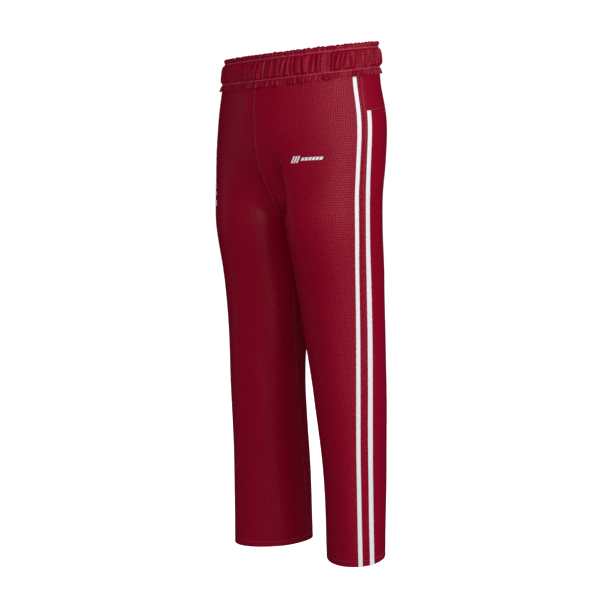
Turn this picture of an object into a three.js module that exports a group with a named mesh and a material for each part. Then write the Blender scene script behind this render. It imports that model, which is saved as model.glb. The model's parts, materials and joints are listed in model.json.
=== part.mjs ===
// Hockey pants: full-length, unpadded team trousers with a gathered elastic waist.
//
// Millimetres, +Z up, +X toward the wearer's left, -Y toward the wearer's front.
// The origin is the centre of the waist opening. Heights are written as drops below it.
// Each leg is two long cloths, front and back, which meet at a side seam and an inseam.
// They are drawn here in zones: seat, hip fold, thigh, knee fold and shin, so that the
// rigid zones can turn about the hip and knee while the folds between them crumple.

import * as THREE from 'three';

// ---- Driving dimensions ---------------------------------------------------

const outseam = 1020;           // waist opening to hem
const rise = 350;               // waist opening to crotch
const crotchCurve = 150;        // height of the crotch seam's curve
const curveTurn = 6;            // how sharply that curve meets the straight seam above it
const seatEase = 210;           // height over which the legs grow out of the seat outside it
const clothThickness = 2;       // the two cloth layers and the air between them
const seamGap = 0.3;            // between pieces that are sewn edge to edge
const layGap = 0.5;             // between a piece and the cloth it lies on

const bandHeight = 68;          // waistband, top rim to the lower ruffled edge
const bandOverlap = 15.5;       // how far that edge hangs over the panels
const elasticTop = 12;          // ruffled header above the elastic
const elasticThickness = 2.1;

const yokeAtSide = 136;         // drop of the yoke seam at the side seam
const yokeAtBack = 118;         // and at the centre back

const tapeWidth = 10;           // the two side stripes
const tapeThickness = 0.8;
const tapeFromSeam = 13.5;       // side seam to the middle of each stripe

const hipDrop = rise + 55;      // drop of each hip axis
const hipFold = 45;             // half the height of cloth that folds there
const kneeDrop = rise + 230;
const kneeFold = 70;

const hemDepth = 22;            // turned-up hem
const hemLift = 1.5;            // the facing's fold above the hem's edge

// Across the whole garment, at the drop given.
const torso = [
  { drop: 0, width: 338, depth: 252, back: 11, lift: 0.128 },
  { drop: 70, width: 347, depth: 278, back: 6, lift: 0.128 },
  { drop: 140, width: 368, depth: 280, back: 2, lift: 0.077 },
  { drop: 220, width: 379, depth: 277, back: -3, lift: 0.019 },
  { drop: rise, width: 379, depth: 277, back: -3, lift: 0 },
];

// One leg: its width and depth, how far its inner side stays from the middle, how far
// its centre lies back, and how far its section turns out, in degrees.
const leg = [
  { drop: rise, width: 185, depth: 214, inside: 0, back: -11, turn: 2, side: 74, inseam: -90 },
  { drop: rise + 110, width: 175, depth: 188, inside: 8, back: -3, turn: 7, side: 63, inseam: -86 },
  { drop: rise + 220, width: 161, depth: 170, inside: 21, back: 1, turn: 12, side: 54, inseam: -96 },
  { drop: rise + 340, width: 144, depth: 164, inside: 36, back: 4, turn: 18, side: 44, inseam: -113 },
  { drop: rise + 500, width: 127, depth: 167, inside: 43, back: 11, turn: 26, side: 32, inseam: -127 },
  { drop: outseam, width: 120, depth: 169, inside: 42, back: 8, turn: 33, side: 26, inseam: -140 },
];
const torsoSide = 80;           // degrees round from the centre front to the side seam

// Heat-applied reflective prints.
const frontPrint = { around: 40, drop: 224, width: 64, height: 13 };
const sidePrint = { around: 60, drop: 243, width: 26, height: 150 };
const printThickness = 0.5;

// How finely the shape is drawn.
const panelColumns = 12;
const waistColumns = 72;
const rowStep = 34;             // down the cloth
const bandStep = 17;            // down the waistband
const printStep = 8;            // across a print

// ---- Sizes down the garment -----------------------------------------------

const radians = THREE.MathUtils.degToRad;
const mix = THREE.MathUtils.lerp;

// A size at a drop, on the smooth curve through its stations.
function sizeAt(stations, key, drop) {
  const last = stations.length - 1;
  const slope = (i) => {
    const before = stations[Math.max(i - 1, 0)];
    const after = stations[Math.min(i + 1, last)];
    return (after[key] - before[key]) / (after.drop - before.drop);
  };
  if (drop <= stations[0].drop) return stations[0][key];
  if (drop >= stations[last].drop) return stations[last][key];
  const i = stations.findIndex((station) => station.drop > drop) - 1;
  const [a, b] = [stations[i], stations[i + 1]];
  const span = b.drop - a.drop;
  const t = (drop - a.drop) / span;
  const rest = 1 - t;
  return a[key] * (1 + 2 * t) * rest * rest + b[key] * (3 - 2 * t) * t * t
    + span * t * rest * (slope(i) * rest - slope(i + 1) * t);
}

// A point of the seat's ring. `proud` moves it out from the cloth's outer face.
function torsoPoint(around, drop, proud) {
  const width = sizeAt(torso, 'width', drop) / 2 + proud;
  const depth = sizeAt(torso, 'depth', drop) / 2 + proud;
  const y = sizeAt(torso, 'back', drop) - depth * Math.cos(radians(around));
  return new THREE.Vector3(width * Math.sin(radians(around)), y,
    sizeAt(torso, 'lift', drop) * y - drop);
}

// A point of the left leg's ring.
function legPoint(around, drop, proud) {
  const turn = radians(sizeAt(leg, 'turn', drop));
  const halfWidth = sizeAt(leg, 'width', drop) / 2;
  const halfDepth = sizeAt(leg, 'depth', drop) / 2;
  const reach = Math.hypot(halfWidth * Math.cos(turn), halfDepth * Math.sin(turn));
  const across = (halfWidth + proud) * Math.sin(radians(around));
  const along = -(halfDepth + proud) * Math.cos(radians(around));
  return new THREE.Vector3(
    sizeAt(leg, 'inside', drop) + reach + across * Math.cos(turn) - along * Math.sin(turn),
    sizeAt(leg, 'back', drop) + across * Math.sin(turn) + along * Math.cos(turn),
    -drop,
  );
}

// A point of the left half of the garment. `across` runs from 0, the centre front or the
// front of the inseam, to 1, the side seam, and 2, the centre back or the back of the
// inseam. Above the crotch the leg's ring opens into the seat's along the crotch curve.
function clothPoint(across, drop, proud) {
  const side = sizeAt(leg, 'side', drop);
  const inseam = sizeAt(leg, 'inseam', drop);
  const round = across < 1
    ? mix(inseam, side, across)
    : mix(side, inseam + 360, across - 1);
  const legSpot = legPoint(round, drop, proud);
  const height = rise - drop;
  if (height <= 0) return legSpot;
  const angle = across < 1 ? across * torsoSide : mix(torsoSide, 180, across - 1);
  const torsoSpot = torsoPoint(angle, drop, proud);
  const curve = ((height / crotchCurve) ** -curveTurn + 1) ** (-0.5 / curveTurn);
  const ease = THREE.MathUtils.smoothstep(height, 0, seatEase);
  const nearEdge = (1 - Math.min(across, 2 - across)) ** 2;
  return legSpot.lerp(torsoSpot, mix(ease, curve, nearEdge));
}

// The share of `across` that a length takes up beside the side seam at this drop, from
// the cloth's run over a small step to each side of the seam.
function shareOf(length, drop) {
  const step = 0.02;
  const run = clothPoint(1 - step, drop, 0).distanceTo(clothPoint(1 + step, drop, 0));
  return length * 2 * step / run;
}

// ---- Solids -----------------------------------------------------------------

// A closed solid from a grid of outer points and a grid of inner points. When `ring` is
// set the grid closes on itself and has no side edges.
function solid(columns, rows, point, ring = false) {
  const across = ring ? columns : columns + 1;
  const layer = across * (rows + 1);
  const positions = [];
  for (const skin of [0, 1]) {
    for (let row = 0; row <= rows; row += 1) {
      for (let column = 0; column < across; column += 1) {
        positions.push(...point(column / columns, row / rows, skin).toArray());
      }
    }
  }
  const index = [];
  const quad = (a, b, c, d) => index.push(a, b, c, a, c, d);
  const at = (column, row, skin) => skin * layer + row * across + (column % across);
  for (let row = 0; row < rows; row += 1) {
    for (let column = 0; column < columns; column += 1) {
      const [right, below] = [column + 1, row + 1];
      quad(at(column, row, 0), at(column, below, 0), at(right, below, 0), at(right, row, 0));
      quad(at(column, row, 1), at(right, row, 1), at(right, below, 1), at(column, below, 1));
    }
  }
  for (let column = 0; column < columns; column += 1) {
    const right = column + 1;
    quad(at(column, 0, 0), at(right, 0, 0), at(right, 0, 1), at(column, 0, 1));
    quad(at(column, rows, 1), at(right, rows, 1), at(right, rows, 0), at(column, rows, 0));
  }
  for (let row = 0; row < rows && !ring; row += 1) {
    const below = row + 1;
    quad(at(0, row, 1), at(0, below, 1), at(0, below, 0), at(0, row, 0));
    quad(at(columns, row, 0), at(columns, below, 0), at(columns, below, 1), at(columns, row, 1));
  }
  return facing(positions, index);
}

// A mesh's geometry with its faces turned out.
function facing(positions, index) {
  const corner = (i) => new THREE.Vector3().fromArray(positions, index[i] * 3);
  let volume = 0;
  for (let i = 0; i < index.length; i += 3) {
    volume += corner(i).dot(corner(i + 1).cross(corner(i + 2)));
  }
  if (volume < 0) index.reverse();
  const geometry = new THREE.BufferGeometry();
  geometry.setAttribute('position', new THREE.Float32BufferAttribute(positions, 3));
  geometry.setIndex(index);
  geometry.computeVertexNormals();
  return geometry;
}

// A ring swept round the waist from a closed outline of [proud, drop] corners.
function waistRing(outline) {
  const corners = [];
  outline.forEach(([proud, drop], i) => {
    const [nextProud, nextDrop] = outline[(i + 1) % outline.length];
    const pieces = Math.max(1, Math.round(Math.abs(nextDrop - drop) / bandStep));
    for (let k = 0; k < pieces; k += 1) {
      corners.push([mix(proud, nextProud, k / pieces), mix(drop, nextDrop, k / pieces)]);
    }
  });
  const positions = [];
  const index = [];
  for (let column = 0; column < waistColumns; column += 1) {
    for (const [proud, drop] of corners) {
      positions.push(...torsoPoint(column * 360 / waistColumns, drop, proud).toArray());
    }
  }
  const count = corners.length;
  for (let column = 0; column < waistColumns; column += 1) {
    const here = column * count;
    const next = ((column + 1) % waistColumns) * count;
    for (let i = 0; i < count; i += 1) {
      const j = (i + 1) % count;
      index.push(here + i, next + i, next + j, here + i, next + j, here + j);
    }
  }
  return facing(positions, index);
}

// ---- The garment's pieces ---------------------------------------------------

const garment = new THREE.Group();

const finishes = {
  cloth: new THREE.MeshStandardMaterial({ color: 0x8e0028, roughness: 0.55 }),
  elastic: new THREE.MeshStandardMaterial({ color: 0xdedcd8, roughness: 0.9 }),
  stripe: new THREE.MeshStandardMaterial({ color: 0xe8e8ea, roughness: 0.6 }),
  print: new THREE.MeshStandardMaterial({ color: 0xc9c9cc, roughness: 0.35, metalness: 0.2 }),
};

function add(name, geometry, finish) {
  const mesh = new THREE.Mesh(geometry, finishes[finish].clone());
  mesh.name = name;
  garment.add(mesh);
}

const panelTop = bandHeight - bandOverlap;

// Moves a point of the left half to its own side, half a seam gap off the middle.
function place(point, side) {
  point.x = side * (point.x + seamGap / 2);
  return point;
}

const seatBottom = hipDrop - hipFold;
const half = seamGap / 2;

// Drops from `top` to `bottom`, no further apart than the row step.
function spread(top, bottom) {
  const count = Math.max(1, Math.ceil((bottom - top) / rowStep));
  return Array.from({ length: count }, (_, i) => mix(top, bottom, i / count));
}

// The rows of a panel that crosses the crotch, closer together toward it.
function seatRows(top) {
  const turns = 8;
  const curve = Array.from({ length: turns }, (_, i) =>
    rise - crotchCurve * (1 - Math.cos(Math.PI / 2 * (1 - i / turns))));
  const yokeRows = top < yokeAtSide ? spread(top, yokeAtSide) : [];
  return [...yokeRows, ...spread(Math.max(top, yokeAtSide), rise - crotchCurve), ...curve,
    rise, seatBottom - half];
}

// A zone of cloth between two values of `across`. `rows` are its drops at the side seam,
// and `topAt`, if given, is its top edge, which the rows above the crotch curve follow.
function cloth(rows, from, to, side, topAt) {
  const fixed = rise - crotchCurve;
  return solid(panelColumns, rows.length - 1, (u, v, skin) => {
    const row = rows[Math.round(v * (rows.length - 1))];
    const edge = shareOf(half, Math.max(row, panelTop));
    const across = mix(from === 0 || from === 1 ? from + edge : from,
      to === 1 || to === 2 ? to - edge : to, u);
    let drop = row;
    if (topAt && row < fixed) {
      drop = mix(topAt(across), fixed, (row - rows[0]) / (fixed - rows[0]));
    }
    return place(clothPoint(across, drop, -skin * clothThickness), side);
  });
}

// A strip of tape that runs down the cloth beside the side seam. `toward` is -1 for the
// stripe in front of the seam and 1 for the one behind it.
function tape(top, bottom, toward, side) {
  const rows = [...spread(top, bottom), bottom];
  return solid(2, rows.length - 1, (u, v, skin) => {
    const drop = rows[Math.round(v * (rows.length - 1))];
    const offset = toward * tapeFromSeam + (u - 0.5) * tapeWidth;
    const proud = layGap + (1 - skin) * tapeThickness;
    return place(clothPoint(1 + shareOf(offset, drop), drop, proud), side);
  });
}

// A flat print on the seat, centred at an angle round the waist.
function print({ around, drop, width, height }, side) {
  const turn = width / (sizeAt(torso, 'width', drop) / 2) * 180 / Math.PI;
  const columns = Math.ceil(width / printStep);
  const rows = Math.ceil(height / (2 * printStep));
  return solid(columns, rows, (u, v, skin) => {
    const angle = around + (u - 0.5) * turn;
    const proud = layGap + (1 - skin) * printThickness;
    return place(clothPoint(angle / torsoSide, drop + (v - 0.5) * height, proud), side);
  });
}

// The hem's turned-up facing, a ring inside the leg.
function hemFacing(side) {
  return solid(2 * panelColumns, 2, (u, v, skin) => {
    const drop = outseam - hemLift - (1 - v) * hemDepth;
    const proud = -clothThickness - layGap - skin * clothThickness / 2;
    return place(clothPoint(2 * u, drop, proud), side);
  }, true);
}

// The waistband's cloth is folded over the elastic: an outer wall, a rim and an inner wall.
const outerFace = layGap + clothThickness;
const innerWall = -elasticThickness - layGap;
const innerFace = innerWall - clothThickness;
const innerBottom = panelTop - layGap;
const elasticBottom = innerBottom - clothThickness;

add('waistband_casing', waistRing([
  [outerFace, bandHeight], [outerFace, 0], [innerFace, 0], [innerFace, innerBottom],
  [innerWall, innerBottom], [innerWall, clothThickness], [layGap, clothThickness],
  [layGap, bandHeight],
]), 'cloth');

add('waistband_elastic', waistRing([
  [0, elasticBottom], [0, elasticTop],
  [-elasticThickness, elasticTop], [-elasticThickness, elasticBottom],
]), 'elastic');

const yokeSeam = (across) => mix(yokeAtSide, yokeAtBack, across - 1);

// A back yoke: from under the waistband down to the yoke seam.
function yoke(side) {
  const rows = spread(panelTop, yokeAtSide).length;
  return solid(panelColumns, rows, (u, v, skin) => {
    const edge = shareOf(half, panelTop);
    const across = mix(1 + edge, 2 - edge, u);
    const drop = mix(panelTop, yokeSeam(across) - half, v);
    return place(clothPoint(across, drop, -skin * clothThickness), side);
  });
}

const zones = [
  { name: 'hip_fold', top: seatBottom, bottom: hipDrop + hipFold },
  { name: 'thigh', top: hipDrop + hipFold, bottom: kneeDrop - kneeFold },
  { name: 'knee_fold', top: kneeDrop - kneeFold, bottom: kneeDrop + kneeFold },
  { name: 'shin', top: kneeDrop + kneeFold, bottom: outseam },
];

for (const [sideName, side] of [['left', 1], ['right', -1]]) {
  add(`seat_front_${sideName}`, cloth(seatRows(panelTop), 0, 1, side), 'cloth');
  add(`back_yoke_${sideName}`, yoke(side), 'cloth');
  const below = (across) => yokeSeam(across) + half;
  add(`seat_back_${sideName}`, cloth(seatRows(yokeAtSide + half), 1, 2, side, below), 'cloth');

  const frontTop = bandHeight + seamGap;
  const backTop = yokeAtSide + half;
  add(`stripe_front_seat_${sideName}`, tape(frontTop, seatBottom - half, -1, side), 'stripe');
  add(`stripe_back_seat_${sideName}`, tape(backTop, seatBottom - half, 1, side), 'stripe');

  for (const { name, top, bottom } of zones) {
    const end = bottom === outseam ? bottom : bottom - half;
    const rows = [...spread(top + half, end), end];
    add(`${name}_front_${sideName}`, cloth(rows, 0, 1, side), 'cloth');
    add(`${name}_back_${sideName}`, cloth(rows, 1, 2, side), 'cloth');
    add(`stripe_front_${name}_${sideName}`, tape(top + half, end, -1, side), 'stripe');
    add(`stripe_back_${name}_${sideName}`, tape(top + half, end, 1, side), 'stripe');
  }
  add(`hem_facing_${sideName}`, hemFacing(side), 'cloth');
}

add('front_print_left', print(frontPrint, 1), 'print');
add('side_print_right', print(sidePrint, -1), 'print');

export default garment;
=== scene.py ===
"""Hockey pants: full-length, unpadded team trousers with a gathered elastic waist.

The garment is drawn as it is sewn. A cut gives every point of the cloth from two numbers:
how far it lies round the body, and how far it drops below the waist. Panels, tapes, hems
and stitches are all laid on that one surface. Sizes inside the classes are millimetres,
and meshes are made in metres.
"""

from __future__ import annotations

import json
import logging
import math
from dataclasses import dataclass, field
from enum import Enum
from typing import Sequence

import bpy
import numpy as np
from bpy.types import ID, Material, Node, NodeSocket, NodeTree, Object
from mathutils import Matrix, Vector, noise

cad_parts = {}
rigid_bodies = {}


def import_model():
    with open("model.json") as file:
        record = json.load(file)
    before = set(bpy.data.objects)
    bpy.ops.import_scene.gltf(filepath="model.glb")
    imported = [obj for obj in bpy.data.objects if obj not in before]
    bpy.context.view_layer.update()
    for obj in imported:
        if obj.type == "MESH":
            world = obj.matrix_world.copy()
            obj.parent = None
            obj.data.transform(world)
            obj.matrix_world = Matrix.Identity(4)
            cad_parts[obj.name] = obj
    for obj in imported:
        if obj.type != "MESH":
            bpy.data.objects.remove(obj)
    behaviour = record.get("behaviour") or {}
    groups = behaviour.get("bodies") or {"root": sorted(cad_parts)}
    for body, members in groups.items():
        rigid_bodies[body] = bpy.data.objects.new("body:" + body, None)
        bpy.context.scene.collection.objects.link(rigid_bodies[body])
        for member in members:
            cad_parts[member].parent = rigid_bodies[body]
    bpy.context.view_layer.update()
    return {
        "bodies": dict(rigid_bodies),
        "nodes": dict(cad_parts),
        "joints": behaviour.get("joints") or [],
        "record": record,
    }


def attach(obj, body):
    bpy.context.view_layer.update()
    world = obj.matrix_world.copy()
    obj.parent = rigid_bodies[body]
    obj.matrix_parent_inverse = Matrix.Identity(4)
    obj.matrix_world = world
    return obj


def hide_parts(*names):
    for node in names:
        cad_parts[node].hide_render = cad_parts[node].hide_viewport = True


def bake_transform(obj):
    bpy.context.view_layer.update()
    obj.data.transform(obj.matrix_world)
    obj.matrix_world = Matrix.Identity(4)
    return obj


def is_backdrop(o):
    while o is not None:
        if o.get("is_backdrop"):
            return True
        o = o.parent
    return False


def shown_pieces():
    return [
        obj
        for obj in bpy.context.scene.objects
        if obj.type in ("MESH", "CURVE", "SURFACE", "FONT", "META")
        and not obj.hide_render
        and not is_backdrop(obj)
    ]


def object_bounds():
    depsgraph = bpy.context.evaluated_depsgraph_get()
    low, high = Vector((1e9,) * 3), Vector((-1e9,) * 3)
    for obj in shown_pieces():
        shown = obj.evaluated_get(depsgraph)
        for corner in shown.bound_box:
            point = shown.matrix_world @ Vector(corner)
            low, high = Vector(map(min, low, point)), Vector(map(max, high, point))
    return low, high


LOG = logging.getLogger("hockey_pants")
MM = 0.001
STITCH_RISE = 0.25


class Named(Enum):
    """A choice whose name is a word in piece names."""

    @property
    def word(self) -> str:
        """The choice's name in piece names."""
        return self.name.lower()


class Side(Named):
    """The wearer's side, as the sign of X."""

    LEFT = 1
    RIGHT = -1


class Face(Named):
    """Which cloth of a leg, as the range of `across` that it covers."""

    FRONT = (0.0, 1.0)
    BACK = (1.0, 2.0)


class Level(Named):
    """Which length of a leg's cloth, as the zones of the frame that it covers."""

    UPPER = ("seat", "hip_fold", "thigh")
    LOWER = ("knee_fold", "shin")


# ---- Curves and noise -----------------------------------------------------------


def through(stops: Sequence[float], values: Sequence[float], at: np.ndarray) -> np.ndarray:
    """A smooth curve through values that are given at stops.

    Args:
        stops: where the values are given, in rising order.
        values: the value at each stop.
        at: where the curve is read; outside the stops it keeps the end values.

    Returns:
        The curve's values, one for each place.
    """
    x = np.asarray(stops, float)
    y = np.asarray(values, float)
    before = np.maximum(np.arange(len(x)) - 1, 0)
    after = np.minimum(np.arange(len(x)) + 1, len(x) - 1)
    slope = (y[after] - y[before]) / (x[after] - x[before])
    spot = np.clip(np.asarray(at, float), x[0], x[-1])
    i = np.clip(np.searchsorted(x, spot, side="right") - 1, 0, len(x) - 2)
    span = x[i + 1] - x[i]
    t = (spot - x[i]) / span
    rest = 1 - t
    return (y[i] * (1 + 2 * t) * rest**2 + y[i + 1] * (3 - 2 * t) * t**2
            + span * t * rest * (slope[i] * rest - slope[i + 1] * t))


def ease(low: float, high: float, at: np.ndarray) -> np.ndarray:
    """A smooth step from 0 at low to 1 at high."""
    t = np.clip((at - low) / (high - low), 0, 1)
    return t * t * (3 - 2 * t)


def bump(middle: float, reach: float, at: np.ndarray) -> np.ndarray:
    """A rounded bump, 1 at the middle and near 0 at twice its reach."""
    return np.exp(-(((at - middle) / reach) ** 2))


def wander(x: np.ndarray, y: np.ndarray, z: np.ndarray) -> np.ndarray:
    """Smooth noise with features about one unit wide.

    Args:
        x: the points' first coordinate.
        y: the second.
        z: the third.

    Returns:
        About -1 to 1 at each point.
    """
    flat = np.stack(np.broadcast_arrays(x, y, z), -1).reshape(-1, 3)
    values = np.array([noise.noise(Vector(p)) for p in flat])
    return values.reshape(np.broadcast(x, y, z).shape)


# ---- The cut: every point of the cloth ------------------------------------------


@dataclass(frozen=True)
class Fold:
    """One soft fold that hangs in the cloth: a ridge along a line, and a hollow beside it.

    Attributes:
        drops: heights below the waist at which the fold is described.
        lines: the ridge's place round the body at each drop, as `across`.
        strengths: how strong the fold is at each drop.
        height: the ridge's height in millimetres; less than 0 sinks it.
        inner_reach: how far the ridge spreads toward the front of the body.
        outer_reach: how far it spreads the other way.
        hollow_away: how far in front of the ridge the hollow lies.
        hollow_reach: how far the hollow spreads.
        hollow_depth: the hollow's depth.
    """

    drops: tuple[float, ...]
    lines: tuple[float, ...]
    strengths: tuple[float, ...]
    height: float
    inner_reach: float
    outer_reach: float
    hollow_away: float = 0.0
    hollow_reach: float = 1.0
    hollow_depth: float = 0.0

    def lift(self, across: np.ndarray, drop: np.ndarray, pace: np.ndarray) -> np.ndarray:
        """How far the fold lifts the cloth.

        Args:
            across: place round the body.
            drop: height below the waist.
            pace: millimetres per unit of `across` there.

        Returns:
            The lift, in millimetres.
        """
        away = (across - through(self.drops, self.lines, drop)) * pace
        reach = np.where(away < 0, self.inner_reach, self.outer_reach)
        hollow = bump(-self.hollow_away, self.hollow_reach, away)
        strength = through(self.drops, self.strengths, drop)
        return strength * (self.height * bump(0, reach, away) - self.hollow_depth * hollow)


SEAT = Fold(drops=(90, 165, 230, 290, 365, 450), lines=(1.42,) * 6,
            strengths=(0, 1, 0.9, 0, -0.7, 0), height=5.5, inner_reach=70.0, outer_reach=70.0)

LEFT_CROTCH_RIDGE = Fold(drops=(205, 250, 267, 308, 346, 399, 470),
                         lines=(0.27, 0.29, 0.305, 0.395, 0.435, 0.415, 0.40),
                         strengths=(0, 0.7, 0.9, 1, 1, 0.8, 0),
                         height=7.0, inner_reach=9.0, outer_reach=42.0,
                         hollow_away=26.0, hollow_reach=16.0, hollow_depth=11.0)
LEFT_SHIN = Fold(drops=(470, 560, 640, 770, 1020), lines=(0.55, 0.62, 0.62, 0.60, 0.55),
                 strengths=(0, 1, 1, 0.7, 0.3), height=2.2, inner_reach=24.0, outer_reach=34.0)

RIGHT_THIGH = Fold(drops=(230, 299, 400, 585, 660), lines=(0.30, 0.292, 0.278, 0.217, 0.20),
                   strengths=(0, 1, 1, 0.9, 0), height=3.4, inner_reach=26.0, outer_reach=26.0)
RIGHT_SHIN = Fold(drops=(600, 640, 795, 1010), lines=(0.42, 0.42, 0.367, 0.273),
                  strengths=(0, 1, 1, 0.8), height=2.4, inner_reach=24.0, outer_reach=24.0)
RIGHT_KNEE_NIP = Fold(drops=(640, 690, 745), lines=(0.03, -0.01, -0.05), strengths=(0, 1, 0),
                      height=3.0, inner_reach=16.0, outer_reach=16.0,
                      hollow_away=16.0, hollow_reach=12.0, hollow_depth=3.0)

FOLDS: dict[Side, tuple[Fold, ...]] = {
    Side.LEFT: (SEAT, LEFT_CROTCH_RIDGE, LEFT_SHIN),
    Side.RIGHT: (SEAT, RIGHT_THIGH, RIGHT_SHIN, RIGHT_KNEE_NIP),
}


@dataclass
class Cut:
    """The shape that the trousers take when worn, as one surface.

    `across` runs from 0, the centre front or the front of the inseam, to 1, the side
    seam, and 2, the centre back or the back of the inseam. `drop` is the height below
    the waist. Above the crotch the legs' rings open into the seat's.

    The rings are ovals, given at a few drops by their widths, depths and places. `lifts`
    tilts the waist, `turns` turns a leg's oval, and `sides` and `inseams` are the angles
    round a leg at which its two seams lie. The sizes from `broad_drape` to `stitch_sink`
    are the heights of the cloth's own relief.
    """

    outseam: float = 1022.0
    rise: float = 350.0
    crotch_curve: float = 150.0
    crotch_turn: float = 6.0
    crotch_softness: float = 150.0
    seam_hold: float = 22.0
    seat_ease: float = 210.0
    side_angle: float = 80.0
    torso_drops: tuple[float, ...] = (0, 70, 140, 220, 350)
    torso_widths: tuple[float, ...] = (338, 347, 368, 379, 379)
    torso_depths: tuple[float, ...] = (252, 278, 280, 277, 277)
    torso_backs: tuple[float, ...] = (11, 6, 2, -3, -3)
    torso_lifts: tuple[float, ...] = (0.128, 0.128, 0.077, 0.019, 0)
    leg_drops: tuple[float, ...] = (290, 350, 460, 570, 690, 850, 1020)
    leg_widths: tuple[float, ...] = (185, 185, 175, 161, 144, 127, 120)
    leg_depths: tuple[float, ...] = (214, 214, 188, 170, 164, 167, 169)
    leg_insides: tuple[float, ...] = (0, 0, 8, 21, 36, 43, 42)
    leg_backs: tuple[float, ...] = (-11, -11, -3, 1, 4, 11, 8)
    leg_turns: tuple[float, ...] = (2, 2, 7, 12, 18, 26, 33)
    leg_sides: tuple[float, ...] = (74, 74, 63, 54, 44, 32, 26)
    leg_inseams: tuple[float, ...] = (-90, -90, -86, -96, -113, -127, -140)
    folds: dict[Side, tuple[Fold, ...]] = field(default_factory=lambda: FOLDS)
    seam_groove: float = 0.9
    seam_allowance: float = 8.0
    yoke_at_side: float = 134.0
    yoke_at_back: float = 112.0
    broad_drape: float = 1.6
    small_drape: float = 0.6
    band_pucker: float = 1.1
    hem_pucker: float = 0.35
    seam_ridge: float = 0.35
    stitch_sink: float = 0.5
    hem_stitch: float = 11.0

    def torso(self, angle: np.ndarray, drop: np.ndarray, proud: np.ndarray) -> np.ndarray:
        """A point of the seat's ring.

        Args:
            angle: degrees round from the centre front, toward the wearer's left.
            drop: height below the waist.
            proud: how far the point stands out from the ring.

        Returns:
            Points, in millimetres.
        """
        half_width = through(self.torso_drops, self.torso_widths, drop) / 2 + proud
        half_depth = through(self.torso_drops, self.torso_depths, drop) / 2 + proud
        turn = np.radians(angle)
        y = through(self.torso_drops, self.torso_backs, drop) - half_depth * np.cos(turn)
        lift = through(self.torso_drops, self.torso_lifts, drop)
        return np.stack([half_width * np.sin(turn), y, lift * y - drop], -1)

    def leg(self, angle: np.ndarray, drop: np.ndarray, proud: np.ndarray) -> np.ndarray:
        """A point of the left leg's ring.

        Args:
            angle: degrees round the leg from its front, toward the wearer's left.
            drop: height below the waist.
            proud: how far the point stands out from the ring.

        Returns:
            Points, in millimetres.
        """
        turn, width, depth, inside, back = (through(self.leg_drops, values, drop) for values in (
            self.leg_turns, self.leg_widths, self.leg_depths, self.leg_insides, self.leg_backs))
        turn, half_width, half_depth = np.radians(turn), width / 2, depth / 2
        middle = inside + np.hypot(half_width * np.cos(turn), half_depth * np.sin(turn))
        round_it = np.radians(angle)
        out = (half_width + proud) * np.sin(round_it)
        along = -(half_depth + proud) * np.cos(round_it)
        x = middle + out * np.cos(turn) - along * np.sin(turn)
        y = back + out * np.sin(turn) + along * np.cos(turn)
        return np.stack([x, y, -drop], -1)

    def smooth(self, across: np.ndarray, drop: np.ndarray,
               proud: float | np.ndarray = 0.0) -> np.ndarray:
        """A point of the left half of the garment, with no folds in the cloth.

        Args:
            across: place round the body, 0 to 2.
            drop: height below the waist.
            proud: how far the point stands out from the cloth.

        Returns:
            Points, in millimetres.
        """
        across, drop, proud = np.broadcast_arrays(across, drop, np.asarray(proud, float))
        side = through(self.leg_drops, self.leg_sides, drop)
        inseam = through(self.leg_drops, self.leg_inseams, drop)
        front = across < 1
        angle = np.where(front, inseam + across * (side - inseam),
                         side + (across - 1) * (inseam + 360 - side))
        leg = self.leg(angle, drop, proud)
        angle = np.where(front, across * self.side_angle,
                         self.side_angle + (across - 1) * (180 - self.side_angle))
        torso = self.torso(angle, drop, proud)
        height = np.maximum(self.rise - drop, 0)
        from_seam = np.minimum(across, 2 - across)
        late = (self.crotch_softness * from_seam) ** 4 + 1e-6
        risen = np.maximum(height**5 / (height**4 + late) / self.crotch_curve, 1e-6)
        curve = (risen**-self.crotch_turn + 1) ** (-0.5 / self.crotch_turn)
        near_edge = (1 - from_seam) ** 2
        share = ease(0, self.seat_ease, height)
        share = np.where(height > 0, share + (curve - share) * near_edge, 0)[..., None]
        return leg * (1 - share) + torso * share

    def frame_at(self, across: np.ndarray, drop: np.ndarray) -> tuple[np.ndarray, np.ndarray]:
        """The way the cloth faces.

        Args:
            across: place round the body, 0 to 2.
            drop: height below the waist.

        Returns:
            The cloth's outward direction, and its millimetres per unit of `across`.
        """
        step, fall = 0.004, 1.5
        a = np.clip(across, step, 2 - step)
        over = self.smooth(a + step, drop) - self.smooth(a - step, drop)
        down = self.smooth(across, drop + fall) - self.smooth(across, drop - fall)
        out = np.cross(down, over)
        size = np.linalg.norm(out, axis=-1, keepdims=True)
        return out / np.maximum(size, 1e-9), np.linalg.norm(over, axis=-1) / (2 * step)

    def loose(self, across: np.ndarray, pace: np.ndarray) -> np.ndarray:
        """How freely the cloth folds: 0 at the centre seams and the inseam, 1 away from them."""
        return ease(0, self.seam_hold, np.minimum(across, 2 - across) * pace)

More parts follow.
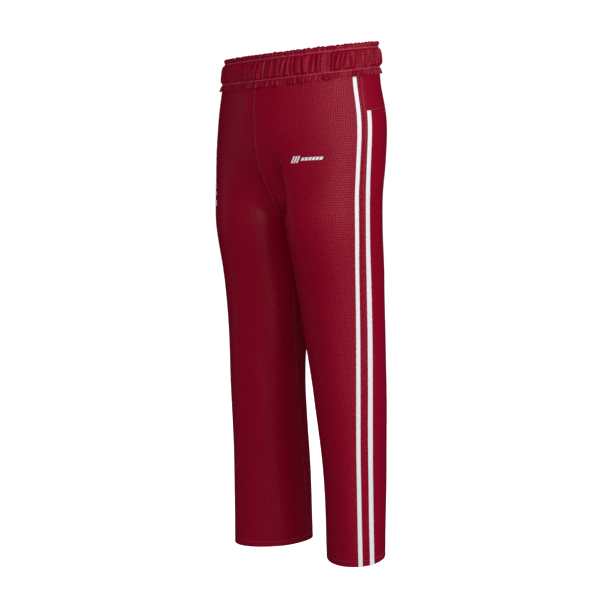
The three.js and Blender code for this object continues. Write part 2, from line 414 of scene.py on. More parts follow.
    def relief(self, across: np.ndarray, drop: np.ndarray, pace: np.ndarray,
               side: Side) -> np.ndarray:
        """How far the cloth's folds, seams and puckers lift it.

        Folds and puckers fade out at the centre seams and the inseam, so that the two
        cloths of each seam lie at the same height there and meet.

        Args:
            across: place round the body.
            drop: height below the waist.
            pace: millimetres per unit of `across` there.
            side: which half of the garment, because no two halves fold alike.

        Returns:
            The lift along the outward direction, in millimetres.
        """
        seed = 3.7 if side is Side.LEFT else 11.3
        x = across * pace
        drape = (self.broad_drape * wander(x / 85, drop / 260, seed)
                 + self.small_drape * wander(x / 34, drop / 120, seed + 5))
        below_band = np.exp(-np.maximum(drop - 64, 0) / 16)
        under_band = self.band_pucker * wander(x / 7.5, drop / 70, seed + 2) * below_band
        from_hem = self.outseam - drop
        at_hem = wander(x / 6, from_hem / 30, seed + 8) * bump(5, 9, from_hem)
        lift = drape * ease(60, 110, drop) + under_band
        lift = lift + self.hem_pucker * at_hem
        for fold in self.folds[side]:
            lift = lift + fold.lift(across, drop, pace)
        lift = lift * self.loose(across, pace)
        for seam in (0.0, 1.0, 2.0):
            away = np.abs(across - seam) * pace
            lift = lift - self.seam_groove * bump(0, 1.3, away)
            allowance = bump(self.seam_allowance / 2, self.seam_allowance / 3, away)
            lift = lift + self.seam_ridge * allowance
        return lift - self.stitch_sink * bump(self.hem_stitch, 1.6, from_hem)

    def point(self, across: np.ndarray, drop: np.ndarray, side: Side,
              proud: float | np.ndarray = 0.0) -> np.ndarray:
        """A point on the folded cloth of either half, in millimetres.

        Above the crotch nothing moves the cloth sideways at the centre seams, so that the
        two halves meet there.

        Args:
            across: place round the body, 0 to 2.
            drop: height below the waist.
            side: the wearer's side.
            proud: how far above the cloth the point stands.

        Returns:
            Points in the frame of the whole garment.
        """
        across, drop = np.broadcast_arrays(np.asarray(across, float), np.asarray(drop, float))
        out, pace = self.frame_at(across, drop)
        lift = self.relief(across, drop, pace, side) + proud
        sideways = self.loose(across, pace)
        sideways = sideways + (1 - sideways) * ease(self.rise, self.rise + 60, drop)
        out = np.stack([out[..., 0] * sideways, out[..., 1], out[..., 2]], -1)
        points = self.smooth(across, drop) + out * lift[..., None]
        sewn = drop < self.rise
        points[..., 0] = np.where(sewn, np.maximum(points[..., 0], 0.0), points[..., 0])
        points[..., 0] *= side.value
        return points

    def yoke_seam(self, across: np.ndarray) -> np.ndarray:
        """The drop of the back yoke's seam."""
        return self.yoke_at_side + (self.yoke_at_back - self.yoke_at_side) * (across - 1)


# ---- Meshes -----------------------------------------------------------------------


def place(name: str, data: ID) -> Object:
    """Puts a new object in the scene.

    Args:
        name: the object's name.
        data: the mesh, light or camera that it holds.

    Returns:
        The new object.
    """
    made = bpy.data.objects.new(name, data)
    bpy.context.scene.collection.objects.link(made)
    return made


def smooth_mesh(name: str, points: np.ndarray, faces: list[list[int]],
                grain: np.ndarray) -> Object:
    """A smooth-shaded piece.

    Args:
        name: the piece's name.
        points: its vertices, in millimetres.
        faces: the vertices of each face.
        grain: each vertex's place on the flat cloth, in millimetres, for the materials.

    Returns:
        The new object.
    """
    mesh = bpy.data.meshes.new(name)
    mesh.from_pydata((points.reshape(-1, 3) * MM).tolist(), [], faces)
    mesh.polygons.foreach_set("use_smooth", np.ones(len(faces), bool))
    flat = np.zeros((len(mesh.vertices), 3), np.float32)
    flat[:, :2] = grain.reshape(-1, 2)
    mesh.attributes.new("grain", "FLOAT_VECTOR", "POINT").data.foreach_set("vector", flat.ravel())
    return place(name, mesh)


def grid_mesh(name: str, points: np.ndarray, grain: np.ndarray, flip: bool = False,
              ring: bool = False) -> Object:
    """A smooth-shaded piece from a grid of points.

    Args:
        name: the piece's name.
        points: rows by columns by 3, in millimetres.
        grain: rows by columns by 2, each point's place on the flat cloth, in millimetres.
        flip: turns the faces over.
        ring: joins the last column to the first.

    Returns:
        The new object.
    """
    rows, columns = points.shape[:2]
    row, column = np.meshgrid(np.arange(rows - 1), np.arange(columns if ring else columns - 1),
                              indexing="ij")
    right = (column + 1) % columns
    faces = np.stack([row * columns + column, (row + 1) * columns + column,
                      (row + 1) * columns + right, row * columns + right], -1).reshape(-1, 4)
    if flip:
        faces = faces[:, ::-1]
    made = smooth_mesh(name, points, faces.tolist(), grain)
    mesh = made.data
    edge_of_corner = np.empty(len(mesh.loops), np.int32)
    mesh.loops.foreach_get("edge_index", edge_of_corner)
    border = np.bincount(edge_of_corner, minlength=len(mesh.edges)) == 1
    mesh.attributes.new("sharp_edge", "BOOLEAN", "EDGE").data.foreach_set("value", border)
    mesh.update()
    return made


def dress(piece: Object, thickness: float, material: Material) -> None:
    """Gives a piece its thickness, on its inner side, and its material.

    Args:
        piece: the piece to dress.
        thickness: in millimetres; less than 0 thickens the outer side.
        material: what it is made of.
    """
    shell = piece.modifiers.new("cloth thickness", "SOLIDIFY")
    shell.thickness = thickness * MM
    shell.offset = -1
    piece.data.materials.append(material)


def flat_grain(points: np.ndarray, drops: np.ndarray) -> np.ndarray:
    """Each grid point's place on the flat cloth, measured from the middle of its row.

    Args:
        points: rows by columns by 3, in millimetres.
        drops: each row's height below the waist.

    Returns:
        Rows by columns by 2, in millimetres.
    """
    steps = np.linalg.norm(np.diff(points, axis=1), axis=-1)
    along = np.concatenate([np.zeros((len(points), 1)), np.cumsum(steps, axis=1)], axis=1)
    along -= along[:, [int(round((points.shape[1] - 1) / 2))]]
    return np.stack([along, np.broadcast_to(drops, along.shape)], -1)


# ---- Materials --------------------------------------------------------------------


def linear(code: str) -> tuple[float, float, float, float]:
    """An sRGB hex colour as the linear colour that shaders use."""
    channels = [int(code[i:i + 2], 16) / 255 for i in (0, 2, 4)]
    return tuple(c / 12.92 if c <= 0.04045 else ((c + 0.055) / 1.055) ** 2.4
                 for c in channels) + (1.0,)


def put(tree: NodeTree, kind: str, inputs: dict | None = None,
        **settings: object) -> Node:
    """Adds a node with its settings, and sets or links its inputs.

    Args:
        tree: the material's node tree.
        kind: the node's type name.
        inputs: input name or number to a value, or to the output socket that feeds it.
        settings: the node's own properties.

    Returns:
        The new node.
    """
    made = tree.nodes.new(kind)
    for name, value in settings.items():
        setattr(made, name, value)
    for key, value in (inputs or {}).items():
        if isinstance(value, NodeSocket):
            tree.links.new(value, made.inputs[key])
        else:
            made.inputs[key].default_value = value
    return made


class Recipe:
    """A material while it is mixed. Each step adds one node and gives its output."""

    def __init__(self, name: str) -> None:
        """Starts an empty material.

        Args:
            name: the material's name.
        """
        self.material = bpy.data.materials.new(name)
        self.material.use_nodes = True
        self.tree = self.material.node_tree
        self.tree.nodes.clear()

    def grain(self) -> NodeSocket:
        """The place on the flat cloth, in millimetres."""
        return put(self.tree, "ShaderNodeAttribute", attribute_name="grain").outputs["Vector"]

    def axes(self, spot: NodeSocket) -> list[NodeSocket]:
        """The X, Y and Z of a place."""
        return list(put(self.tree, "ShaderNodeSeparateXYZ", {0: spot}).outputs)

    def maths(self, operation: str, *values: object) -> NodeSocket:
        """The result of an operation on one to three outputs or numbers."""
        return put(self.tree, "ShaderNodeMath", dict(enumerate(values)),
                   operation=operation).outputs[0]

    def ramp(self, value: NodeSocket, low: float, high: float,
             ends: tuple[float, float] = (0.0, 1.0), **settings: object) -> NodeSocket:
        """The range of low to high, stretched over the two ends."""
        return put(self.tree, "ShaderNodeMapRange", {
            "Value": value, "From Min": low, "From Max": high,
            "To Min": ends[0], "To Max": ends[1]}, **settings).outputs[0]

    def tint(self, share: NodeSocket, dark: str, light: str) -> NodeSocket:
        """A colour between two hex colours."""
        return put(self.tree, "ShaderNodeMix", {
            "Factor": share, 6: linear(dark), 7: linear(light)}, data_type="RGBA").outputs[2]

    def relief(self, height: NodeSocket, strength: float,
               depth: float) -> NodeSocket:
        """The normal of a surface with a fine relief, its depth in millimetres."""
        return put(self.tree, "ShaderNodeBump", {
            "Strength": strength, "Distance": depth * MM, "Height": height}).outputs[0]

    def coat(self, inputs: dict) -> Material:
        """Finishes the material.

        Args:
            inputs: its surface's inputs, as `put` takes them.

        Returns:
            The material.
        """
        shader = put(self.tree, "ShaderNodeBsdfPrincipled", inputs)
        put(self.tree, "ShaderNodeOutputMaterial", {"Surface": shader.outputs[0]})
        return self.material


@dataclass(frozen=True)
class RipstopPolyester:
    """Woven polyester with a small square grid in the weave, dyed crimson.

    The thin cloth is calendered, so it has a soft silky gloss, and its grid catches the
    light as rows of little pillows. The grid's grooves are painted a darker red, a painted
    shade, and lose their gloss. `groove` is the width of the grid's lines and `pitch`
    their spacing.
    """

    name: str = "woven polyester, crimson"
    colour: str = "8E0026"
    # painted shade: the darker red painted into the grid's grooves
    groove_colour: str = "80001D"
    pitch: float = 4.7
    groove: float = 1.0
    relief: float = 0.12
    roughness: float = 0.32
    gloss: float = 0.17
    groove_gloss: float = 0.0
    sheen: float = 0.01

    def build(self) -> Material:
        """Makes the material.

        Returns:
            The new material.
        """
        mix = Recipe(self.name)
        grain = mix.grain()
        pillows = [mix.ramp(mix.maths("PINGPONG", axis, self.pitch / 2), 0.0, self.groove,
                            interpolation_type="SMOOTHSTEP") for axis in mix.axes(grain)[:2]]
        pillow = mix.maths("MULTIPLY", *pillows)
        slub = put(mix.tree, "ShaderNodeTexNoise", {
            "Vector": grain, "Scale": 0.9, "Detail": 2.0, "Roughness": 0.6},
            noise_dimensions="2D").outputs[0]
        height = mix.maths("MULTIPLY_ADD", pillow, 1.0, slub)
        return mix.coat({
            # the grooves take the darker red: painted shade in the grid's grooves
            "Base Color": mix.tint(pillow, self.groove_colour, self.colour),
            "Roughness": mix.ramp(slub, 0.3, 0.7, (self.roughness - 0.04, self.roughness + 0.05)),
            "Specular IOR Level": mix.ramp(pillow, 0.0, 1.0, (self.groove_gloss, self.gloss)),
            "Sheen Weight": self.sheen, "Sheen Roughness": 0.4,
            "Sheen Tint": linear("D8C8CC"), "Normal": mix.relief(height, 1.0, self.relief)})


@dataclass(frozen=True)
class KnitTape:
    """Narrow warp-knit polyester tape: fine ribs run along it and take the gloss off."""

    name: str = "warp-knit tape, white"
    colour: str = "EFEFF0"
    shade: str = "DADADD"
    rib: float = 1.1

    def build(self) -> Material:
        """Makes the material.

        Returns:
            The new material.
        """
        mix = Recipe(self.name)
        across, along, _ = mix.axes(mix.grain())
        height = mix.maths("ADD", mix.maths("PINGPONG", across, self.rib / 2),
                           mix.maths("PINGPONG", along, self.rib))
        return mix.coat({
            "Base Color": mix.tint(mix.ramp(height, 0.2, 1.2), self.shade, self.colour),
            "Roughness": 0.62, "Sheen Weight": 0.1, "Normal": mix.relief(height, 0.6, 0.12)})


@dataclass(frozen=True)
class SpunThread:
    """Polyester sewing thread, two plies: a fine slanted twist in a soft dull lustre."""

    name: str = "polyester thread, dusty rose"
    colour: str = "C78F9A"
    # painted shade: the darker colour painted into the valleys of the twist
    valley: str = "9C5F6B"
    twist: float = 0.5

    def build(self) -> Material:
        """Makes the material.

        Returns:
            The new material.
        """
        mix = Recipe(self.name)
        slant = mix.maths("ADD", *mix.axes(mix.grain())[:2])
        ply = mix.ramp(mix.maths("PINGPONG", slant, self.twist / 2), 0.0, self.twist / 2)
        return mix.coat({
            # the twist's valleys are painted darker: painted shade between the plies
            "Base Color": mix.tint(ply, self.valley, self.colour),
            "Roughness": 0.5, "Sheen Weight": 0.2, "Normal": mix.relief(ply, 0.5, 0.08)})


@dataclass(frozen=True)
class WovenElastic:
    """Woven rubber-core elastic: white, with ribs across it every two millimetres."""

    name: str = "woven elastic, white"
    colour: str = "D9D7D2"
    # painted shade: the grey painted into the grooves between the ribs
    groove_colour: str = "A9A6A0"
    ribs_round: float = 480.0

    def build(self) -> Material:
        """Makes the material.

        Returns:
            The new material.
        """
        mix = Recipe(self.name)
        x, y, _ = mix.axes(put(mix.tree, "ShaderNodeTexCoord").outputs["Object"])
        turns = mix.maths("MULTIPLY", mix.maths("ARCTAN2", y, x), self.ribs_round)
        rib = mix.ramp(mix.maths("SINE", turns), -1.0, 1.0)
        return mix.coat({
            # the rib grooves are painted grey: painted shade in the grooves
            "Base Color": mix.tint(rib, self.groove_colour, self.colour),
            "Roughness": 0.8, "Normal": mix.relief(rib, 0.7, 0.3)})


@dataclass(frozen=True)
class ReflectiveFilm:
    """Heat-pressed reflective film: silver-grey, finely beaded, a little brighter than paint."""

    name: str = "heat-pressed reflective film, silver"
    colour: str = "E6E6E8"
    bead: float = 0.4

    def build(self) -> Material:
        """Makes the material.

        Returns:
            The new material.
        """
        mix = Recipe(self.name)
        beads = put(mix.tree, "ShaderNodeTexVoronoi", {
            "Vector": mix.grain(), "Scale": 1 / self.bead}, voronoi_dimensions="2D")
        return mix.coat({
            "Base Color": linear(self.colour), "Roughness": 0.45,
            "Normal": mix.relief(beads.outputs["Distance"], 0.3, 0.05)})


@dataclass
class Finishes:
    """Every material of the garment, each made once."""

    cloth: Material = field(default_factory=RipstopPolyester().build)
    tape: Material = field(default_factory=KnitTape().build)
    thread: Material = field(default_factory=SpunThread().build)
    # the brick-rose thread's darker valley colour is painted shade in its twist
    seam_thread: Material = field(default_factory=SpunThread(
        "polyester thread, brick rose", colour="A35868", valley="7E3C49").build)
    elastic: Material = field(default_factory=WovenElastic().build)
    film: Material = field(default_factory=ReflectiveFilm().build)


# ---- Sewing: threads ---------------------------------------------------------------


@dataclass
class Stitching:
    """A row of lockstitches: short round-ended lengths of thread laid along a path."""

    length: float = 3.1
    gap: float = 0.5
    thickness: float = 0.7
    sides: int = 6

    def sew(self, name: str, path: np.ndarray, out: np.ndarray,
            material: Material) -> Object:
        """Sews stitches along a path.

        Args:
            name: the piece's name.
            path: points of the row, in millimetres, closely spaced.
            out: the cloth's outward direction at each point.
            material: the thread's material.

        Returns:
            One object that holds every stitch of the row.
        """
        run = np.concatenate([[0], np.cumsum(np.linalg.norm(np.diff(path, axis=0), axis=1))])
        count = int(run[-1] // (self.length + self.gap))
        shares = np.array([0.0, 0.12, 0.5, 0.88, 1.0])
        girth = np.array([0.45, 0.85, 1.0, 0.85, 0.45])[:, None, None]
        dip = np.array([-0.35, 0.0, 0.12, 0.0, -0.35])[:, None]
        at = (np.arange(count) * (run[-1] / count))[:, None] + shares * self.length
        middle, up = (np.stack([np.interp(at, run, values[:, k]) for k in range(3)], -1)
                      for values in (path, out))
        along = middle[:, -1:] - middle[:, :1]
        along /= np.linalg.norm(along, axis=-1, keepdims=True)
        beside = np.cross(up, along)[..., None, :]
        turns = np.arange(self.sides) * 2 * math.pi / self.sides
        spokes = (np.cos(turns)[:, None] * beside + np.sin(turns)[:, None] * up[..., None, :])
        points = (middle + up * dip)[..., None, :] + spokes * (self.thickness / 2) * girth
        grain = np.stack(np.broadcast_arrays(at[..., None], turns / math.pi), -1)
        last = (len(shares) - 1) * self.sides
        stitch = [[low + s, low + self.sides + s, low + self.sides + (s + 1) % self.sides,
                   low + (s + 1) % self.sides]
                  for low in range(0, last, self.sides) for s in range(self.sides)]
        stitch += [list(range(self.sides)), [last + s for s in reversed(range(self.sides))]]
        starts = range(0, count * len(shares) * self.sides, len(shares) * self.sides)
        faces = [[start + corner for corner in face] for start in starts for face in stitch]
        made = smooth_mesh(name, points, faces, grain)
        made.data.materials.append(material)
        return made


# ---- The garment's pieces ----------------------------------------------------------


@dataclass
class Leg:
    """One half of the garment: its front and back cloths, tapes and hem.

    Each cloth is one long piece, cut across at mid-thigh here into an upper and a lower
    length.
    """

    cut: Cut
    side: Side
    finishes: Finishes
    spacing: float = 3.5
    thickness: float = 0.5
    panel_top: float = 54.0
    parting: float = 480.0
    hip_bend: tuple[float, float] = (350.0, 470.0)
    knee_bend: tuple[float, float] = (505.0, 655.0)
    tape_width: float = 10.0
    tape_front: float = 15.0
    tape_back: float = 12.0
    tape_rise: float = 0.35
    tape_thickness: float = 0.5
    row_from_seam: float = 1.6
    seam_thread: float = 0.42
    hem_depth: float = 22.0
    cloth_width: float = 280.0
    yoke_length: float = 82.0
    tape_top: float = 62.0
    tape_spacing: float = 3.0
    tape_overhang: float = 0.4
    hem_columns: int = 150
    beside_seam: float = 0.02

    def bend(self, piece: Object) -> None:
        """Bakes a piece's transform into its mesh; it is not tied to any joint.

        Args:
            piece: the piece.
        """
        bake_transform(piece)

    def reach(self, level: Level, top: float) -> tuple[float, float]:
        """The drops at which one length of a piece starts and ends, if the piece starts at top."""
        return (top, self.parting) if level is Level.UPPER else (self.parting, self.cut.outseam)

    def cut_out(self, name: str, across: np.ndarray, drops: np.ndarray,
                proud: float | np.ndarray = 0.0, ring: bool = False) -> Object:
        """Cuts a piece of the shell cloth, and says what flat cloth it was.

        Args:
            name: the piece's name.
            across: places round the body, a row.
            drops: heights below the waist, a column or a grid.
            proud: how far the piece stands out from the cloth.
            ring: whether it runs all round the inside of the leg.

        Returns:
            The new piece.
        """
        points = self.cut.point(across, drops, self.side, proud)
        outside = Side.LEFT if ring else Side.RIGHT
        piece = grid_mesh(name, points, flat_grain(points, drops), self.side is outside, ring)
        dress(piece, -self.thickness if ring else self.thickness, self.finishes.cloth)
        self.cut.smooth(across, drops, proud)
        return piece

    def cloth(self, face: Face, level: Level) -> None:
        """Cuts one length of the front or back cloth.

        Args:
            face: front or back.
            level: above or below mid-thigh.
        """
        top, bottom = self.reach(level, self.panel_top)
        across = np.linspace(*face.value, int(self.cloth_width / self.spacing) + 1)[None, :]
        share = np.linspace(0, 1, int((bottom - top) / self.spacing) + 1)[:, None]
        starts = np.full_like(across, top)
        if level is Level.UPPER and face is Face.BACK:
            starts = self.cut.yoke_seam(across)
        piece = self.cut_out(f"{face.word}_cloth_{level.word}_{self.side.word}", across,
                             starts + (bottom - starts) * share)
        self.bend(piece)
        nodes = [f"{zone}_{face.word}_{self.side.word}" for zone in level.value]
        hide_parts(*nodes)

    def yoke(self) -> None:
        """Cuts the back yoke, from under the waistband to its seam."""
        across = np.linspace(1, 2, int(self.cloth_width / self.spacing) + 1)[None, :]
        share = np.linspace(0, 1, int(self.yoke_length / self.spacing) + 1)[:, None]
        drops = self.panel_top + (self.cut.yoke_seam(across) - self.panel_top) * share
        piece = self.cut_out(f"back_yoke_cloth_{self.side.word}", across, drops)
        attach(piece, "seat")
        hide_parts(f"back_yoke_{self.side.word}")

    def seam_row(self, name: str, across: np.ndarray, drops: np.ndarray) -> Object:
        """Sews a row of stitches on the cloth.

        Args:
            name: the row's name.
            across: places round the body that the row runs through.
            drops: their heights below the waist.

        Returns:
            The new row.
        """
        path = self.cut.point(across, drops, self.side, STITCH_RISE)
        out, _ = self.cut.frame_at(across, drops)
        out = out * np.array([self.side.value, 1, 1])
        machine = Stitching(thickness=self.seam_thread)
        return machine.sew(name, path, out, self.finishes.seam_thread)

    def seams(self) -> None:
        """Sews the rows that show: beside the inseam, the crotch seams and the yoke's seam."""
        word = self.side.word
        for level in Level:
            top, bottom = self.reach(level, self.cut.rise)
            drops = np.linspace(top, bottom, int(bottom - top))
            _, pace = self.cut.frame_at(np.full_like(drops, self.beside_seam), drops)
            row = self.seam_row(f"inseam_stitches_{level.word}_{word}",
                                self.row_from_seam / pace, drops)
            self.bend(row)
        across = np.linspace(1, 2, 600)
        row = self.seam_row(f"yoke_stitches_{word}", across,
                            self.cut.yoke_seam(across) + self.row_from_seam)
        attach(row, "seat")
        if self.side is Side.RIGHT:
            return
        for name, edge in (("front", 0.0), ("back", 2.0)):
            drops = np.linspace(self.panel_top, self.cut.rise - 1, 700)
            _, pace = self.cut.frame_at(np.full_like(drops, abs(edge - self.beside_seam)), drops)
            away = self.row_from_seam / pace
            row = self.seam_row(f"centre_{name}_stitches", np.abs(edge - away), drops)
            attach(row, "seat")

    def tape(self, face: Face, level: Level) -> None:
        """Lays one length of a side stripe beside the side seam.

        Args:
            face: the stripe in front of the seam or behind it.
            level: above or below mid-thigh.
        """
        front = face is Face.FRONT
        centre = -self.tape_front if front else self.tape_back
        top, bottom = self.reach(level, self.tape_top if front else self.cut.yoke_at_side + 1)
        if level is Level.LOWER:
            bottom += self.tape_overhang
        drops = np.linspace(top, bottom, int((bottom - top) / self.tape_spacing) + 1)[:, None]
        from_middle = np.linspace(-1, 1, 7)[None, :]
        offset = centre + from_middle * self.tape_width / 2
        _, pace = self.cut.frame_at(np.ones_like(drops), drops)
        proud = self.tape_rise + self.tape_thickness * (1 - from_middle**6)
        points = self.cut.point(1 + offset / pace, drops, self.side, proud)
        grain = np.stack(np.broadcast_arrays(offset, drops), -1)
        piece = grid_mesh(f"{face.word}_stripe_{level.word}_{self.side.word}", points, grain,
                          self.side is Side.RIGHT)
        dress(piece, self.tape_thickness, self.finishes.tape)
        self.bend(piece)
        nodes = [f"stripe_{face.word}_{zone}_{self.side.word}" for zone in level.value]
        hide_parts(*nodes)

    def hem(self) -> None:
        """Turns up the hem inside the leg, and sews it."""
        word = self.side.word
        across = np.linspace(0, 2, self.hem_columns, endpoint=False)[None, :]
        turn = np.linspace(0, math.pi / 2, 5)
        edge = self.cut.outseam
        inside = np.linspace(edge - 2, edge - self.hem_depth, 8)
        drops = np.concatenate([edge - 0.6 + 0.6 * np.cos(turn), inside])
        proud = np.concatenate([-self.thickness - 1.0 * np.sin(turn),
                                np.full_like(inside, -self.thickness - 1.1)])
        piece = self.cut_out(f"hem_turn_up_{word}", across, drops[:, None], proud[:, None],
                             ring=True)
        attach(piece, f"{word}_shin")
        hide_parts(f"hem_facing_{word}")
        around = np.linspace(0, 2, 601)
        row = self.seam_row(f"hem_stitches_{word}", around,
                            np.full_like(around, edge - self.cut.hem_stitch))
        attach(row, f"{word}_shin")

    def build(self) -> None:
        """Makes every piece of this half."""
        for face in Face:
            for level in Level:
                self.cloth(face, level)
                self.tape(face, level)
        self.yoke()
        self.hem()
        self.seams()


@dataclass
class Waistband:
    """The casing: one strip folded over the elastic, gathered along two rows of stitches.

    The strip is measured from the inner wall's lower edge, up over the rim and down the
    outer wall to the lip. At each place on it `drops` is the height below the waist,
    `prouds` how far it stands out from the waist's ring, and `gathers` how deep it is
    gathered. The gathers never reach in as far as the elastic.
    """

    cut: Cut
    finishes: Finishes
    columns: int = 1000
    rows: int = 96
    thickness: float = 0.45
    fullness: float = 1.2
    mid_drop: float = 30.0
    strip: tuple[float, ...] = (0, 14, 38, 49, 53, 57, 66, 72, 85, 98, 104, 109, 121)
    drops: tuple[float, ...] = (51, 37, 16, 6.5, 3.4, 6, 14, 19, 33, 47, 53.5, 57.5, 66.5)
    prouds: tuple[float, ...] = (-3.4, -4.4, -3.6, -3.4, -1.2, 0.5, 0.3, 1.9, 2.3, 2.1, 0.8, 1.4, 1.6)
    gathers: tuple[float, ...] = (0.8, 3.0, 2.2, 1.4, 2.4, 4.0, 0.8, 5.4, 6.4, 5.4, 0.9, 4.2, 5.4)
    mean_radius: float = 151.0
    band_folds: int = 82
    edge_folds: int = 138
    crease_share: float = 0.38
    top_row: float = 66.0
    low_row: float = 104.0

    def folds(self, angle: np.ndarray, strip: np.ndarray) -> np.ndarray:
        """The gathers' shape.

        The creases are evenly counted, and each drifts and leans a little, so that some
        draw together and others part. The ruffled edges have finer gathers of their own.

        Args:
            angle: degrees round the waist from the centre front.
            strip: place across the strip.

        Returns:
            0 in the creases and about 1 on the crests.
        """
        turn = np.radians(angle)
        x, y = self.mean_radius * np.cos(turn), self.mean_radius * np.sin(turn)
        drift = 0.9 * wander(x / 24, y / 24, strip / 55) + 0.5 * wander(x / 10, y / 10, strip / 34)
        wide = np.abs(np.sin(math.pi * (angle / 360 * self.band_folds + drift))) ** 0.55
        wide = wide * np.clip(0.9 + 0.9 * wander(x / 15, y / 15, strip / 80 + 20), 0.45, 1.25)
        drift = 0.9 * wander(x / 13, y / 13, strip / 40 + 5)
        fine = np.abs(np.sin(math.pi * (angle / 360 * self.edge_folds + drift))) ** 0.65
        fine = fine * np.clip(0.8 + 1.2 * wander(x / 9, y / 9, strip / 40 + 30), 0.3, 1.3)
        in_band = (ease(self.top_row, self.top_row + 4, strip)
                   * (1 - ease(self.low_row - 4, self.low_row, strip)))
        return wide * in_band + fine * (1 - in_band)

    def surface(self, angle: np.ndarray, strip: np.ndarray) -> np.ndarray:
        """A point of the gathered strip.

        Args:
            angle: degrees round the waist from the centre front.
            strip: place across the strip, from the inner wall's lower edge.

        Returns:
            Points, in millimetres.
        """
        angle, strip = np.broadcast_arrays(np.asarray(angle, float), np.asarray(strip, float))
        wave = self.folds(angle, strip) - self.crease_share
        lift = through(self.strip, self.gathers, strip) * wave
        proud = through(self.strip, self.prouds, strip)
        drop = through(self.strip, self.drops, strip)
        outward = 2 * ease(48, 56, strip) - 1
        on_rim = bump(53, 3.5, strip)
        turn = np.radians(angle)
        ragged = wander(self.mean_radius * np.cos(turn) / 5, self.mean_radius * np.sin(turn) / 5,
                        np.full_like(turn, 4.0))
        drop = drop - on_rim * 2.0 * ragged + ease(112, 121, strip) * 1.6 * ragged
        return self.cut.torso(angle, drop, proud + lift * outward)

    def casing(self) -> Object:
        """Makes the casing.

        Returns:
            The new piece.
        """
        angle = np.linspace(0, 360, self.columns, endpoint=False)[None, :]
        strip = np.linspace(self.strip[0], self.strip[-1], self.rows)[:, None]
        points = self.surface(angle, strip)
        ring = self.cut.torso(angle, self.mid_drop, 0.0)
        girth = np.linalg.norm(np.diff(ring, axis=1), axis=-1).sum() * self.fullness
        grain = np.stack(np.broadcast_arrays(angle / 360 * girth, strip), -1)
        piece = grid_mesh("waistband_cloth", points, grain, ring=True)
        dress(piece, self.thickness, self.finishes.cloth)
        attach(piece, "seat")
        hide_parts("waistband_casing")
        return piece

    def sew(self, name: str, strip: float) -> None:
        """Sews one row of stitches round the band.

        Args:
            name: the row's name.
            strip: its place across the strip.
        """
        angle = np.linspace(0, 360, 1201)
        path = self.surface(angle, np.full_like(angle, strip))
        higher = self.surface(angle, np.full_like(angle, strip - 0.8))
        beside = np.gradient(path, axis=0)
        out = np.cross(path - higher, beside)
        out /= np.linalg.norm(out, axis=1, keepdims=True)
        row = Stitching().sew(name, path + out * STITCH_RISE, out, self.finishes.thread)
        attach(row, "seat")

    def build(self, frame: dict) -> None:
        """Makes the band and dresses its elastic.
        """
        self.casing()
        self.sew("waistband_stitches_top", self.top_row)
        self.sew("waistband_stitches_low", self.low_row)
        elastic = frame["nodes"]["waistband_elastic"]
        elastic.data.materials.clear()
        elastic.data.materials.append(self.finishes.elastic)


@dataclass
class Prints:
    """Two heat-pressed marks of plain shapes: a small one in front, a tall one beside."""

    cut: Cut
    finishes: Finishes
    rise: float = 0.15
    thickness: float = 0.25

    def bar(self, shape: Sequence[float], middle: tuple[float, float], side: Side,
            name: str) -> Object:
        """Presses one slanted bar on the cloth.

        Args:
            shape: its left, top, width, height and slant, in millimetres from the middle.
            middle: the mark's middle, as (across, drop).
            side: the wearer's side.
            name: the piece's name.

        Returns:
            The new object.
        """
        left, top, width, height, slant = shape
        u, v = np.meshgrid(*(np.linspace(0, 1, max(2, round(size / 3)) + 1)
                             for size in (width, height)))
        right, down = left + u * width + (1 - v) * slant, top + v * height
        _, pace = self.cut.frame_at(np.full_like(u, middle[0]), middle[1] + down)
        points = self.cut.point(middle[0] + right / pace, middle[1] + down, side,
                                self.rise + self.thickness)
        piece = grid_mesh(name, points, np.stack([right, down], -1), side is Side.RIGHT)
        dress(piece, self.thickness, self.finishes.film)
        return piece

    def mark(self, shapes: Sequence[Sequence[float]], middle: tuple[float, float], side: Side,
             name: str, node: str) -> None:
        """Presses a group of bars and joins them into one piece.

        Args:
            shapes: each bar's shape, as `bar` takes it.
            middle: the group's middle, as (across, drop).
            side: the wearer's side.
            name: the piece's name.
            node: the CAD node that it stands for.
        """
        made = [self.bar(shape, middle, side, f"{name}_{i}") for i, shape in enumerate(shapes)]
        with bpy.context.temp_override(active_object=made[0], object=made[0],
                                       selected_objects=made, selected_editable_objects=made):
            bpy.ops.object.join()
        made[0].name = name
        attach(made[0], "seat")
        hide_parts(node)

    def build(self) -> None:
        """Makes both marks."""
        badge = [(-32 + 5.4 * i, -6.5, 3.4, 13, 3) for i in range(3)]
        line = [(-12 + 7.2 * i, -3, 5.6, 6, 1.5) for i in range(6)]
        self.mark(badge + line, (0.5, 224), Side.LEFT, "front_mark", "front_print_left")
        blocks = [(-10, -72 + 18 * i, 20, 12 if i % 2 else 7, 0) for i in range(8)]
        self.mark(blocks, (0.75, 243), Side.RIGHT, "side_mark", "side_print_right")


# ---- The studio --------------------------------------------------------------------


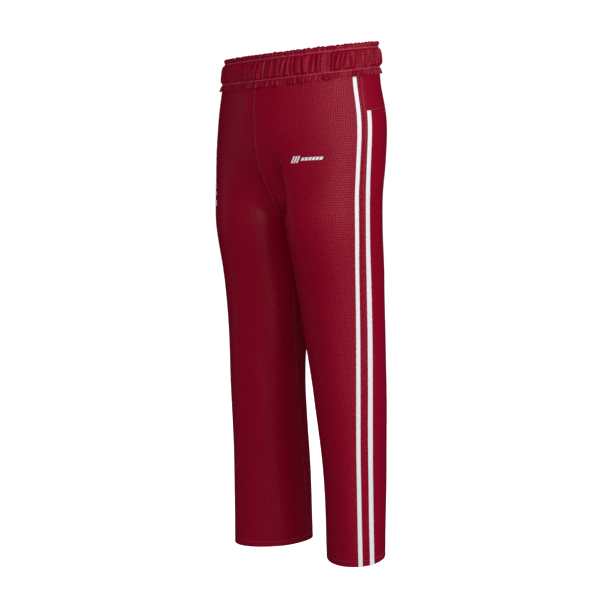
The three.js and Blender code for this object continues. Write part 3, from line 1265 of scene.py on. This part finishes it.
@dataclass
class Studio:
    """A plain pale room, soft lights, and the camera."""

    azimuth: float = 40.06
    pitch: float = 4.43
    roll: float = 1.74
    distance: float = 2.495
    lens: float = 73.2
    aim_drop: float = 0.5058
    aim_left: float = 0.009
    floor_below_hem: float = 0.12

    def camera(self) -> None:
        """Makes the camera."""
        turn, tilt, roll = (math.radians(a) for a in (self.azimuth, self.pitch, self.roll))
        right = Vector((math.cos(turn), math.sin(turn), 0))
        level = Vector((-math.sin(turn), math.cos(turn), 0))
        ahead = level * math.cos(tilt) - Vector((0, 0, math.sin(tilt)))
        up = level * math.sin(tilt) + Vector((0, 0, math.cos(tilt)))
        aim = Vector((0, 0, -self.aim_drop)) - right * self.aim_left
        across = right * math.cos(roll) - up * math.sin(roll)
        above = right * math.sin(roll) + up * math.cos(roll)
        data = bpy.data.cameras.new("camera")
        data.lens = self.lens
        made = place("camera", data)
        spin = Matrix((across, above, -ahead)).transposed().to_4x4()
        made.matrix_world = Matrix.Translation(aim - ahead * self.distance) @ spin
        bpy.context.scene.camera = made

    def light(self, name: str, azimuth: float, height: float, distance: float,
              size: tuple[float, float], power: float, lights: bool = True,
              mirrored: bool = True) -> None:
        """Adds one softbox that faces the garment.

        Args:
            name: the light's name.
            azimuth: degrees round from the wearer's front, toward the wearer's left.
            height: metres above the waist.
            distance: metres from the garment's middle.
            size: width and height in metres.
            power: watts.
            lights: whether the light brightens dull surfaces.
            mirrored: whether the light shows in the cloth's gloss.
        """
        data = bpy.data.lights.new(name, "AREA")
        data.shape = "RECTANGLE"
        data.size, data.size_y = size
        data.energy = power
        made = place(name, data)
        turn = math.radians(azimuth)
        spot = Vector((math.sin(turn) * distance, -math.cos(turn) * distance, height))
        made.location = spot
        aim = Vector((0, 0, -0.5)) - spot
        made.rotation_euler = aim.to_track_quat("-Z", "Y").to_euler()
        made.visible_diffuse = lights
        made.visible_glossy = mirrored

    def room(self) -> None:
        """Makes the floor and the white surround."""
        world = bpy.data.worlds.new("studio")
        world.use_nodes = True
        tree = world.node_tree
        tree.nodes.clear()
        seen = put(tree, "ShaderNodeBackground", {"Color": (1, 1, 1, 1), "Strength": 1.1})
        fill = put(tree, "ShaderNodeBackground", {"Color": (1, 1, 1, 1), "Strength": 0.34})
        path = put(tree, "ShaderNodeLightPath")
        unlit = put(tree, "ShaderNodeBackground", {"Strength": 0.0})
        matt = put(tree, "ShaderNodeMixShader", {
            0: path.outputs["Is Glossy Ray"], 1: fill.outputs[0], 2: unlit.outputs[0]})
        mixed = put(tree, "ShaderNodeMixShader", {
            0: path.outputs["Is Camera Ray"], 1: matt.outputs[0], 2: seen.outputs[0]})
        put(tree, "ShaderNodeOutputWorld", {"Surface": mixed.outputs[0]})
        bpy.context.scene.world = world
        mesh = bpy.data.meshes.new("floor")
        reach, level = 12.0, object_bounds()[0][2] - self.floor_below_hem
        mesh.from_pydata([(-reach, -reach, level), (reach, -reach, level),
                          (reach, reach, level), (-reach, reach, level)], [], [(0, 1, 2, 3)])
        mesh.materials.append(Recipe("matt white paper floor").coat({
            "Base Color": linear("F7F7F7"), "Roughness": 0.9, "Specular IOR Level": 0.1,
            "Emission Color": (1, 1, 1, 1), "Emission Strength": 1.0}))
        floor = place("floor", mesh)
        floor.visible_diffuse = False
        floor.visible_glossy = False
        floor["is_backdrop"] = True

    def build(self) -> None:
        """Sets up the room, lights and view transform."""
        self.room()
        self.light("key_right", 90, 0.5, 2.6, (2.4, 2.6), 50)
        self.light("sheet_front", 60, 0.2, 2.6, (1.7, 2.6), 27, lights=False)
        self.light("strip_left", -62, 0.1, 2.8, (0.5, 2.2), 2.5)
        self.light("rim_left", -142, 0.1, 2.8, (0.6, 2.2), 4, lights=False)
        self.light("fill_front", 30, 0.3, 2.6, (2.4, 2.6), 25, mirrored=False)
        self.light("fill_back", 215, 0.4, 2.8, (2.0, 2.4), 16, mirrored=False)
        bpy.context.scene.view_settings.view_transform = "Standard"


def main() -> None:
    """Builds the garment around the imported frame, then the studio."""
    logging.basicConfig(level=logging.INFO, format="%(name)s: %(message)s")
    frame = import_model()
    studio = Studio()
    studio.camera()
    finishes = Finishes()
    cut = Cut()
    for side in Side:
        Leg(cut, side, finishes).build()
    Waistband(cut, finishes).build(frame)
    Prints(cut, finishes).build()
    studio.build()
    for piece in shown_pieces():
        LOG.info("%s made", piece.name)


if __name__ == "__main__":
    main()
